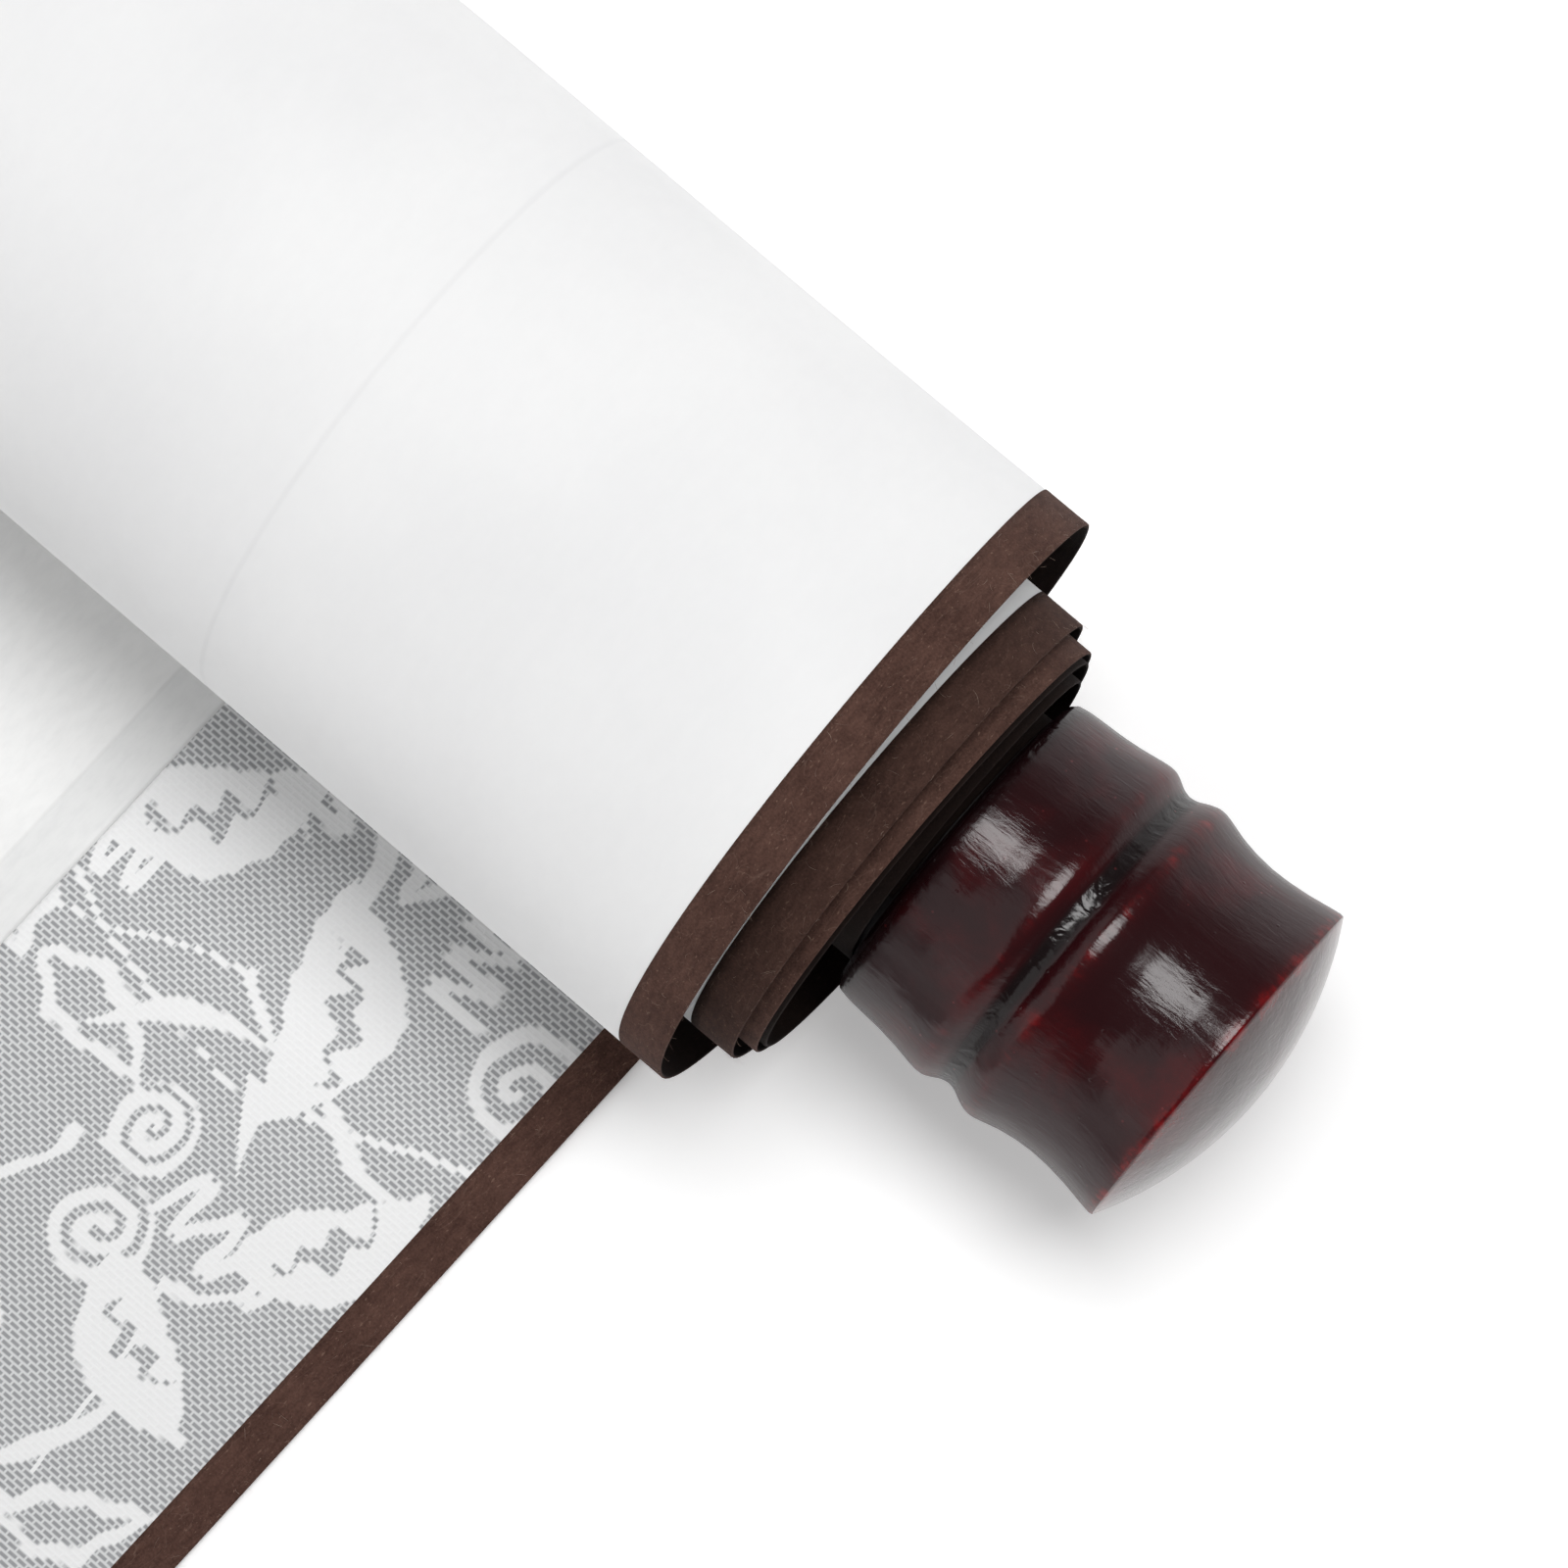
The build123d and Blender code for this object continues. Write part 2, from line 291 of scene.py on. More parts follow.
def makeDamask():
    low, high = -half + 0.3 * mm, half - 0.3 * mm
    parts = []
    full = columns(low, high, 50)
    parts.append(sheetBand(full, paper, full, 2 * paper, runSteps(sheetEnd, -sheet["pictureFlat"])))
    for a, b in ((low, -halfPicture), (halfPicture, high)):
        side = columns(a, b, 14)
        run = runSteps(-sheet["pictureFlat"], pictureEnd)
        parts.append(sheetBand(side, paper, side, 2 * paper, run))
    parts.append(sheetBand(full, paper, full, 2 * paper, runSteps(pictureEnd, woundLength)))
    parts.append(battenSleeve(low, high))
    return meshFrom("damask", parts)


def battenSleeve(low, high):
    # the border folded over the batten: an arc about the batten's axis, paper thick
    radius = (batten["width"] ** 2 / 4 + batten["height"] ** 2) / (2 * batten["height"])
    middle, centreZ = sheet["flat"] + batten["width"] / 2, 2 * paper + batten["height"] - radius
    foot = math.asin((centreZ - 1.2 * paper) / radius)
    angle = np.linspace(-foot, math.pi + foot, 40)[:, None]
    across = columns(low, high, 30)[None, :]
    rings, uvs = [], []
    for reach in (radius + paper, radius + 0.02 * mm):
        y = -middle + reach * np.cos(angle) + across * 0
        z = centreZ + reach * np.sin(angle) + across * 0
        x = across + y * 0
        c, s = math.cos(sheet["skew"]), math.sin(sheet["skew"])
        rings.append(np.stack([x * c + y * s, y * c - x * s, z], -1))
        uvs.append(np.stack([across + angle * 0, flatEnd - radius * angle + across * 0], -1))
    return bandGrid(rings[0], rings[1], uvs[0], uvs[1])


strip = {
    "backWidth": 3.95 * mm,
    "backWander": 0.55 * mm,
    "faceWidth": 3.6 * mm,
    "faceWander": 0.2 * mm,
    "proud": 0.07 * mm,      # how far its outside stands off the backing
}


def makeStrip(side):
    # a paper folded round the edge: back leg, round fold, face leg
    run = runSteps(sheetEnd, woundLength)
    backLeg = half - strip["backWidth"] - waves(0.2 * side, run * 1.3, strip["backWander"], 21)
    faceLeg = half - strip["faceWidth"] - waves(0.4 * side, run * 1.3, strip["faceWander"], 27)
    thick = 2 * paper
    turn = np.linspace(-math.pi / 2, math.pi / 2, 9)[None, :]

    def line(off, legBack, legFace):
        bend = thick / 2 + off
        centre = half - thick / 2
        t = np.linspace(0, 1, 5)[None, :]
        back = legBack[:, None] + (centre - legBack[:, None]) * t[:, :-1]
        face = centre + (legFace[:, None] - centre) * t[:, 1:]
        fold = centre + 0.5 * bend * np.cos(turn) + 0 * run[:, None]
        across = np.concatenate([back, fold, face], 1)
        depth = np.concatenate([back * 0 - off, thick / 2 + bend * np.sin(turn) + 0 * run[:, None],
                                face * 0 + thick + off], 1)
        return across, depth

    outA, outD = line(strip["proud"], backLeg, faceLeg)
    inA, inD = line(-0.02 * mm, backLeg + 0.03 * mm, faceLeg + 0.03 * mm)
    if side < 0:
        outA, inA = -outA[:, ::-1], -inA[:, ::-1]
        outD, inD = outD[:, ::-1], inD[:, ::-1]
    # the face leg stops short of the batten
    stop = run < flatEnd + 0.6 * mm
    outD = np.where(stop[:, None], np.minimum(outD, thick + 0.02 * mm), outD)
    band = sheetBand(outA, outD, inA, inD, run)
    piece = meshFrom("strip_right" if side > 0 else "strip_left", [band])
    # deep: painted shade, 1 on the inside of the roll's turns and on its innermost turns, where they
    # lie in shade, and 0 in the open
    turnShade = np.clip((run - turnEnds[4]) / (8 * mm), 0, 1)[:, None]
    inside = np.clip((run - 2 * mm) / (22 * mm), 0, 1)[:, None]
    # the second turn, under the outer one, gets a little painted shade as well
    fromStart, toEnd = (run - turnEnds[1]) / (12 * mm), (turnEnds[3] - run) / (12 * mm)
    secondTurnShade = 0.27 * np.clip(fromStart, 0, 1) * np.clip(toEnd, 0, 1)
    turnShade = np.maximum(turnShade, secondTurnShade[:, None])
    deep = [np.maximum(turnShade, np.clip((d - 0.3 * thick) / (0.6 * thick), 0, 1) * inside)
            for d in (outD, inD[:, ::-1])]
    mark = piece.data.attributes.new("deep", "FLOAT", "POINT")
    mark.data.foreach_set("value", np.concatenate(deep, 1).astype(np.float32).ravel())
    return piece


lint = {
    "count": 1100,
    "longest": 1.25 * mm,
    "shortest": 0.22 * mm,
    "radius": 0.009 * mm,
}


def makeLint():
    # short curled hairs on the edge strips: circular arcs, lifting a little off the paper
    dice = np.random.default_rng(77)
    count, steps = lint["count"], np.linspace(0, 1, 7)[None, :]
    side = np.where(dice.random(count) < 0.62, 1, -1)
    run = np.where(dice.random(count) < 0.62, dice.uniform(0, 0.3, count),
                   dice.uniform(-0.28, 0, count))
    inward = np.where(dice.random(count) < 0.4, dice.uniform(0, 0.3, count),
                      dice.uniform(0.1, 4.2, count))
    across = side * (half - inward * mm)
    length = lint["shortest"] + (lint["longest"] - lint["shortest"]) * dice.random(count) ** 2.2
    heading = dice.uniform(0, 2 * math.pi, count)[:, None]
    curl = dice.normal(0, 0.95, count)[:, None]
    turned = heading + curl * steps
    stepLength = (length / (steps.size - 1))[:, None]
    acrossLine = across[:, None] + np.cumsum(np.cos(turned) * stepLength, 1)
    runLine = run[:, None] + np.cumsum(np.sin(turned) * stepLength, 1)
    rise = dice.uniform(0.03, 0.3, count)[:, None] * mm
    lifted = 0.09 * mm + rise * np.sin(math.pi * steps * dice.uniform(0.4, 1, count)[:, None])
    # on the flat part the hairs lie on the face, on the roll they lie on its outside
    onFlat = run[:, None] < 0
    runLine = np.where(onFlat, np.minimum(runLine, -0.3 * mm), np.maximum(runLine, 0.3 * mm))
    depth = np.where(onFlat, 2 * paper + 2 * lifted, -lifted)
    inner = half - strip["backWidth"] + 0.4 * mm
    acrossLine = side[:, None] * np.clip(np.abs(acrossLine), inner, half + 0.5 * mm)
    path = lay(acrossLine, runLine, depth)
    lengthwise = np.gradient(path, axis=1)
    lengthwise /= np.linalg.norm(lengthwise, axis=2, keepdims=True)
    sideways = np.cross(lengthwise, [0.31, 0.59, 0.74])
    sideways /= np.linalg.norm(sideways, axis=2, keepdims=True)
    upward = np.cross(lengthwise, sideways)
    taper = lint["radius"] * (1 - 0.75 * np.abs(2 * steps - 1) ** 3)[..., None]
    ring = [path + taper * (sideways * math.cos(a) + upward * math.sin(a))
            for a in (0, 2 * math.pi / 3, 4 * math.pi / 3)]
    grid = np.stack(ring, 2)
    rows = steps.size
    hairs, row, corner = np.meshgrid(np.arange(count), np.arange(rows - 1), np.arange(3),
                                     indexing="ij")
    base = hairs * rows * 3 + row * 3
    nextCorner = (corner + 1) % 3
    faces = np.stack([base + corner, base + nextCorner, base + 3 + nextCorner, base + 3 + corner],
                     -1).reshape(-1, 4)
    points = grid.reshape(-1, 3)
    return meshFrom("lint", [(points, faces, points[:, :2])])


knob = {
    "gap": {-1: 1.0 * mm, 1: 0.2 * mm},
    "rim": 25.2 * mm,
    "dome": 3.8 * mm,
    "uneven": 0.035 * mm,
    # share of the length to the rim, and radius in millimetres
    "line": [(0.0, 13.3), (0.015, 13.65), (0.05, 13.82), (0.11, 13.92), (0.17, 14.0), (0.24, 14.2),
             (0.29, 14.42), (0.33, 14.58), (0.358, 14.56), (0.38, 14.3), (0.405, 13.9), (0.435, 13.72),
             (0.46, 13.86), (0.49, 14.26), (0.52, 14.54), (0.55, 14.54), (0.585, 14.3), (0.63, 13.98),
             (0.69, 13.72), (0.75, 13.62), (0.81, 13.68), (0.88, 13.88), (0.94, 14.15), (0.985, 14.35),
             (1.0, 14.3)],
}


def makeKnob(side):
    # a turned shape: radius(x) round the roller's axis, with a slightly uneven lacquered skin
    share, radius = np.array(knob["line"]).T
    x = np.linspace(0, 1, 150)
    r = np.interp(x, share, radius) * mm
    r = np.r_[r[:4], soften(r, 0.009, x[1])[4:-3], r[-3:]]
    rimRadius = r[-1]
    sphere = (rimRadius ** 2 + knob["dome"] ** 2) / (2 * knob["dome"])
    tilt = np.linspace(math.asin(rimRadius / sphere), 0.0, 40)[1:]
    domeX = knob["rim"] + knob["dome"] - sphere * (1 - np.cos(tilt))
    lineX = np.r_[0, x * knob["rim"], domeX]
    lineR = np.r_[6.2 * mm, r, sphere * np.sin(tilt)]
    lineR[-1] = 0.02 * mm
    angle = np.linspace(0, 2 * math.pi, 193)[:-1]
    dice = np.random.default_rng(40 + side)
    skin = 0
    for _ in range(14):
        k = dice.integers(1, 6)
        twist = 2 * math.pi * lineX[:, None] / dice.uniform(0.012, 0.04)
        skin = skin + np.sin(k * angle[None, :] + twist + dice.uniform(0, 6.28))
    skin = skin / 14 * knob["uneven"] * np.clip(lineR[:, None] / rimRadius, 0, 1)
    rr = lineR[:, None] + skin
    start = side * (half * slant + knob["gap"][side]) + wrapCreep * mm
    px = start + side * (lineX[:, None] + 0.3 * skin)
    py = sheet["rollerY"] + rr * np.cos(angle) * side
    pz = rollerZ + rr * np.sin(angle)
    grid = np.stack(np.broadcast_arrays(px, py, pz), -1)
    rows, cols = grid.shape[:2]
    row, col = np.meshgrid(np.arange(rows - 1), np.arange(cols), indexing="ij")
    nextCol = (col + 1) % cols
    faces = np.stack([row * cols + col, row * cols + nextCol, (row + 1) * cols + nextCol,
                      (row + 1) * cols + col], -1).reshape(-1, 4)
    uv = np.stack(np.broadcast_arrays(angle[None, :] * 14 * mm, lineX[:, None]), -1)
    piece = meshFrom("knob_cap_right" if side > 0 else "knob_cap_left",
                     [(grid.reshape(-1, 3), faces, uv.reshape(-1, 2))])
    # rub: how far the lacquer is worn thin, at the rim, the bead and the ring; pool: how
    # thickly it has gathered and crinkled, in the groove and against the shoulder, and also
    # painted shade there, where the groove and the join with the roll lie in shade
    share = lineX / knob["rim"]
    rub = (np.exp(-((share - 1.0) / 0.035) ** 2) + 0.5 * np.exp(-((share - 0.345) / 0.03) ** 2)
           + 0.7 * np.exp(-((share - 0.535) / 0.035) ** 2))
    poolAndShade = np.exp(-((share - 0.435) / 0.04) ** 2) + 0.8 * np.exp(-(share / 0.07) ** 2)
    for label, values in (("rub", rub), ("poolAndShade", poolAndShade)):
        mark = piece.data.attributes.new(label, "FLOAT", "POINT")
        mark.data.foreach_set("value", np.repeat(values, cols).astype(np.float32))
    return piece


class Field:
    # a number that varies over a surface, worked out by Math nodes
    def __init__(self, tree, socket):
        self.tree, self.socket = tree, socket

    def math(self, operation, *others):
        node = self.tree.nodes.new("ShaderNodeMath")
        node.operation = operation
        for slot, value in zip(node.inputs, (self, *others)):
            if isinstance(value, Field):
                self.tree.links.new(value.socket, slot)
            else:
                slot.default_value = value
        return Field(self.tree, node.outputs[0])

    def __add__(self, other):
        return self.math("ADD", other)

    def __sub__(self, other):
        return self.math("SUBTRACT", other)

    def __mul__(self, other):
        return self.math("MULTIPLY", other)

    def __truediv__(self, other):
        return self.math("DIVIDE", other)

    def __abs__(self):
        return self.math("ABSOLUTE")

    def __neg__(self):
        return self * -1

    def __rsub__(self, other):
        return self * -1 + other

    __radd__ = __add__
    __rmul__ = __mul__

    def sin(self):
        return self.math("SINE")

    def lower(self, other):
        return self.math("MINIMUM", other)

    def upper(self, other):
        return self.math("MAXIMUM", other)

    def rise(self, low, high):
        # 0 below low, 1 above high, smooth between
        node = self.tree.nodes.new("ShaderNodeMapRange")
        node.interpolation_type = "SMOOTHSTEP"
        self.tree.links.new(self.socket, node.inputs["Value"])
        flip = low > high
        node.inputs["From Min"].default_value = min(low, high)
        node.inputs["From Max"].default_value = max(low, high)
        node.inputs["To Min"].default_value = 1 if flip else 0
        node.inputs["To Max"].default_value = 0 if flip else 1
        return Field(self.tree, node.outputs["Result"])


class Finish:
    # a material with its Principled shader and a few shorthand nodes
    def __init__(self, name, useUv):
        self.material = bpy.data.materials.new(name)
        self.material.use_nodes = True
        self.tree = self.material.node_tree
        self.shader = self.tree.nodes["Principled BSDF"]
        coords = self.tree.nodes.new("ShaderNodeTexCoord")
        self.place = coords.outputs["UV" if useUv else "Object"]

    def mark(self, name):
        node = self.tree.nodes.new("ShaderNodeAttribute")
        node.attribute_name = name
        return Field(self.tree, node.outputs["Fac"])

    def parts(self):
        node = self.tree.nodes.new("ShaderNodeSeparateXYZ")
        self.tree.links.new(self.place, node.inputs[0])
        return [Field(self.tree, node.outputs[i]) for i in range(3)]

    def stretched(self, scale):
        node = self.tree.nodes.new("ShaderNodeMapping")
        self.tree.links.new(self.place, node.inputs["Vector"])
        node.inputs["Scale"].default_value = scale
        return node.outputs[0]

    def noise(self, size, detail=3, rough=0.5, scale=(1, 1, 1), warp=0):
        node = self.tree.nodes.new("ShaderNodeTexNoise")
        self.tree.links.new(self.stretched(scale), node.inputs["Vector"])
        node.inputs["Scale"].default_value = 1 / size
        node.inputs["Detail"].default_value = detail
        node.inputs["Roughness"].default_value = rough
        node.inputs["Distortion"].default_value = warp
        return Field(self.tree, node.outputs[0])

    def join(self, x, y):
        node = self.tree.nodes.new("ShaderNodeCombineXYZ")
        self.tree.links.new(x.socket, node.inputs[0])
        self.tree.links.new(y.socket, node.inputs[1])
        return node.outputs[0]

    def noiseAt(self, place, size, detail=1):
        node = self.tree.nodes.new("ShaderNodeTexNoise")
        self.tree.links.new(place, node.inputs["Vector"])
        node.inputs["Scale"].default_value = 1 / size
        node.inputs["Detail"].default_value = detail
        return Field(self.tree, node.outputs[0])

    def cells(self, size, scale=(1, 1, 1)):
        node = self.tree.nodes.new("ShaderNodeTexVoronoi")
        self.tree.links.new(self.stretched(scale), node.inputs["Vector"])
        node.inputs["Scale"].default_value = 1 / size
        return Field(self.tree, node.outputs["Distance"])

    def mix(self, amount, first, second):
        node = self.tree.nodes.new("ShaderNodeMix")
        node.data_type = "RGBA"
        self.tree.links.new(amount.socket, node.inputs[0])
        for slot, value in ((node.inputs[6], first), (node.inputs[7], second)):
            if isinstance(value, tuple):
                slot.default_value = (*value, 1)
            else:
                self.tree.links.new(value, slot)
        return node.outputs[2]

    def paint(self, colour):
        self.tree.links.new(colour, self.shader.inputs["Base Color"])

    def set(self, **values):
        for name, value in values.items():
            slot = self.shader.inputs[name.replace("_", " ")]
            if isinstance(value, Field):
                self.tree.links.new(value.socket, slot)
            else:
                slot.default_value = value

    def bump(self, height, depth, coat=False):
        node = self.tree.nodes.new("ShaderNodeBump")
        self.tree.links.new(height.socket, node.inputs["Height"])
        node.inputs["Distance"].default_value = depth
        self.tree.links.new(node.outputs[0], self.shader.inputs["Normal"])
        if coat:
            self.tree.links.new(node.outputs[0], self.shader.inputs["Coat Normal"])


def tone(red, green, blue):
    # a screen colour, 0 to 255, as the shader's linear numbers
    return tuple((c / 255 / 12.92 if c < 10.4 else ((c / 255 + 0.055) / 1.055) ** 2.4)
                 for c in (red, green, blue))


def paperBack():
    f = Finish("backingPaper", True)
    fromMiddle = abs(f.parts()[0])
    cloud = f.noise(30 * mm, 2)
    fibre = f.noise(1.2 * mm, 4, 0.65, (1, 0.5, 1))
    speck = f.cells(23 * mm).rise(0.0085, 0.004)
    # the backing's edge band is pasted on with its own seam
    seamPlace = half - 44 * mm
    line = abs(fromMiddle - seamPlace).rise(0.35 * mm, 0.05 * mm)
    shade = cloud.rise(0.3, 0.75) * 0.5 + fibre * 0.35 + line * 0.25
    colour = f.mix(shade, tone(246, 246, 246), tone(233, 233, 234))
    f.paint(f.mix(speck * 0.7, colour, tone(120, 112, 104)))
    f.set(Roughness=0.62)
    f.shader.inputs["Specular IOR Level"].default_value = 0.3
    step = (fromMiddle - seamPlace).rise(-0.25 * mm, 0.25 * mm)
    f.bump(fibre * 0.25 + f.noise(0.35 * mm, 3) * 0.3 + step * 1.5, 0.03 * mm)
    return f.material


def paperFace():
    f = Finish("picturePaper", True)
    fibre = f.noise(0.8 * mm, 5, 0.7, (1, 0.35, 1))
    cloud = f.noise(9 * mm, 3)
    # the damask's hidden lap shows through as a slightly darker band
    lap = abs(f.parts()[0]).rise(halfPicture - 4.6 * mm, halfPicture - 4.2 * mm)
    shade = fibre.rise(0.35, 0.75) * 0.2 + cloud.rise(0.35, 0.7) * 0.1 + lap * 0.35
    f.paint(f.mix(shade, tone(245, 245, 244), tone(215, 216, 216)))
    f.set(Roughness=0.8)
    f.shader.inputs["Specular IOR Level"].default_value = 0.2
    f.bump(fibre * 0.25 + lap * 1.2, 0.05 * mm)
    return f.material


def paperStrip():
    f = Finish("edgingPaper", True)
    pile = f.noise(0.2 * mm, 4, 0.7)
    nap = f.noise(0.5 * mm, 3, 0.6, (1, 0.35, 1))
    cloud = f.noise(5 * mm, 3)
    fleck = f.noise(0.2 * mm, 2, 0.5, (1, 0.4, 1)).rise(0.62, 0.74)
    hair = abs(f.noise(2.2 * mm, 2, 0.4, (1, 0.3, 1), 1.5) - 0.5).rise(0.007, 0.001)
    shade = pile.rise(0.28, 0.72) * 0.45 + nap.rise(0.3, 0.7) * 0.3 + cloud.rise(0.3, 0.7) * 0.25
    base = f.mix(shade, tone(52, 33, 28), tone(98, 71, 62))
    colour = f.mix(fleck * 0.45, base, tone(140, 112, 98))
    colour = f.mix(hair * 0.15, colour, tone(140, 116, 104))
    # painted shade: where the deep mark is 1 the strip is painted nearly black, as shade inside the
    # roll
    f.paint(f.mix(f.mark("deep") * 0.88, colour, tone(12, 8, 7)))
    f.set(Roughness=0.9)
    f.shader.inputs["Specular IOR Level"].default_value = 0.15
    f.bump(pile * 0.8 + nap * 0.5 + fleck * 0.3, 0.06 * mm)
    return f.material


# The figured weave: a repeat of leaves, loops, curls and ripples, all in millimetres.
figure = {
    "across": 46.0,
    "along": 58.0,
    "stroke": 1.25,
    "warp": 2.2,
    "rowPitch": 0.47,
    "barPitch": 0.93,
    # centre, angle in degrees, length, width, bend
    "leaves": [(31, 43.5, -22, 19, 9.5, 0.022), (13.5, 49, 28, 16, 7.5, -0.03),
               (36, 26, -50, 20, 8.5, -0.026), (19, 20, 72, 21, 9.0, 0.026),
               (7, 7, -58, 17, 7.5, -0.03)],
    "loops": [(21, 35, 84, 10, 4.6, 0.03), (8, 37, -35, 12, 4.8, -0.03), (33, 9, 12, 13, 5.2, 0.02),
              (44, 12, 60, 11, 4.6, -0.03), (43, 37, 85, 11, 4.4, 0.02)],
    "stems": [(24.5, 31, 62, 17, 1.7, 0.03), (13, 41.5, -68, 13, 1.5, -0.03),
              (28, 13, -30, 15, 1.6, 0.03), (40, 49, 20, 15, 1.6, 0.03),
              (11, 13, 15, 13, 1.5, -0.04)],
    # centre, radius, turning sense
    "curls": [(5, 25, 5.6, 1), (21.5, 55, 4.0, -1), (43, 2, 4.2, 1), (24, 5, 3.6, -1)],
    # centre, angle, length, height, ripples
    "ripples": [(14, 31, 75, 11, 1.7, 3.5), (29, 34, -65, 10, 1.5, 3), (42, 19, -12, 11, 1.7, 3.5),
                (14, 2, 8, 12, 1.7, 3.5)],
}


def seenFrom(x, y, spot, degrees):
    # the place seen from the nearest repeat of a spot, turned: (x cos + y sin, y cos - x sin)
    dx, dy = x - spot[0], y - spot[1]
    dx = dx - (dx / figure["across"] + 0.5).math("FLOOR") * figure["across"]
    dy = dy - (dy / figure["along"] + 0.5).math("FLOOR") * figure["along"]
    if degrees == 0:
        return dx, dy
    c, s = math.cos(math.radians(degrees)), math.sin(math.radians(degrees))
    return dx * c + dy * s, dy * c - dx * s


def bladeShape(x, y, spot, degrees, length, width, bend):
    # half width = width/2 * (1 - q*q) * (1 + q/3), about a bent line; q runs -1 to 1
    u, v = seenFrom(x, y, spot, degrees)
    v = v + u * u * bend
    q = u * (2 / length)
    return u, v, abs(v) - (1 - q * q) * (q * 0.33 + 1) * (width / 2)


def leafShape(x, y, *blade):
    # a solid blade with a toothed slit that widens towards one side of its middle
    u, v, body = bladeShape(x, y, *blade)
    length = blade[2]
    tooth = (u * 2.1).sin() * 0.7 + u * 0.22
    slit = abs(v - 0.5 + tooth) - 0.75 - (u * 1.05 + 1.2).sin() * 0.5
    slit = slit.upper(abs(u - length * 0.04) - length * 0.25)
    return (body + (u * 2.7).sin() * 0.14).upper(-slit)


def loopShape(x, y, *blade):
    # the outline of a blade, with wavy sides
    u, v, body = bladeShape(x, y, *blade)
    return abs(body + 0.3 + (u * 1.9).sin() * 0.22) - figure["stroke"] / 2


def stemShape(x, y, *blade):
    # a slender bent blade
    return bladeShape(x, y, *blade)[2]


def curlShape(x, y, spot, radius, sense):
    # spiral stroke: the distance to the nearest arm, kept inside the radius
    dx, dy = seenFrom(x, y, spot, 0)
    far = (dx * dx + dy * dy).math("SQRT")
    arm = (dy * sense).math("ARCTAN2", dx) * (1 / (2 * math.pi))
    pitch = radius / 2.1
    fold = (far * (1 / pitch) - arm).math("FRACT") - 0.5
    return (abs(fold) * pitch - figure["stroke"] * 0.44).upper(far - radius)


def rippleShape(x, y, spot, degrees, length, height, ripples):
    # a wavy stroke: |v - height * sin(k u)| / steepness, stopped at its ends
    u, v = seenFrom(x, y, spot, degrees)
    k = 2 * math.pi * ripples / length
    steep = ((u * k + math.pi / 2).sin().math("POWER", 2) * (height * k) ** 2 + 1).math("SQRT")
    stroke = abs(v - (u * k).sin() * height) / steep - figure["stroke"] / 2
    return stroke.upper(abs(u) - length / 2)


def wholeFigure(x, y):
    # the nearest of all the shapes: negative inside
    shape = None
    for kind, maker in (("leaves", leafShape), ("loops", loopShape), ("stems", stemShape),
                        ("curls", curlShape), ("ripples", rippleShape)):
        for cx, cy, *sizes in figure[kind]:
            one = maker(x, y, (cx, cy), *sizes)
            shape = one if shape is None else shape.lower(one)
    return shape


def damaskCloth():
    f = Finish("damask", True)
    across, run = f.parts()[:2]
    x, y = (half - across) * (1 / mm), run * (1 / mm)
    # floats of weft: short bars across the sheet, each row set over by half
    lift = y / figure["rowPitch"]
    row = lift.math("FLOOR")
    slide = x / figure["barPitch"] + row * 0.5
    fromRow, fromBar = abs(lift - row - 0.5), abs(slide - slide.math("FLOOR") - 0.5)
    # the figure is read at the middle of each row, so that its outline steps with the weave
    rowY = (row + 0.5) * figure["rowPitch"]
    warpA = f.noiseAt(f.join(x, rowY), 6.5) - 0.5
    warpB = f.noiseAt(f.join(x + 40, rowY), 6.5) - 0.5
    motif = wholeFigure(x + warpA * figure["warp"], rowY + warpB * figure["warp"]).rise(0.12, -0.12)
    thread = f.noise(0.11 * mm, 2, 0.6, (0.3, 1, 1))
    uneven = f.noise(1.1 * mm, 2)
    bar = fromRow.rise(0.42, 0.16) * fromBar.rise(0.48, 0.34)
    grey = bar * (motif * -0.6 + 1) * (uneven * 0.5 + 0.75)
    base = f.mix(grey, tone(215, 216, 217), tone(148, 149, 151))
    colour = f.mix(motif * 0.85, base, tone(243, 243, 243))
    f.paint(f.mix(thread.rise(0.4, 0.8) * 0.1, colour, tone(200, 202, 204)))
    f.set(Roughness=motif * -0.15 + 0.68)
    f.shader.inputs["Sheen Weight"].default_value = 0.08
    f.bump(bar * 0.5 + thread * 0.25, 0.035 * mm)
    return f.material


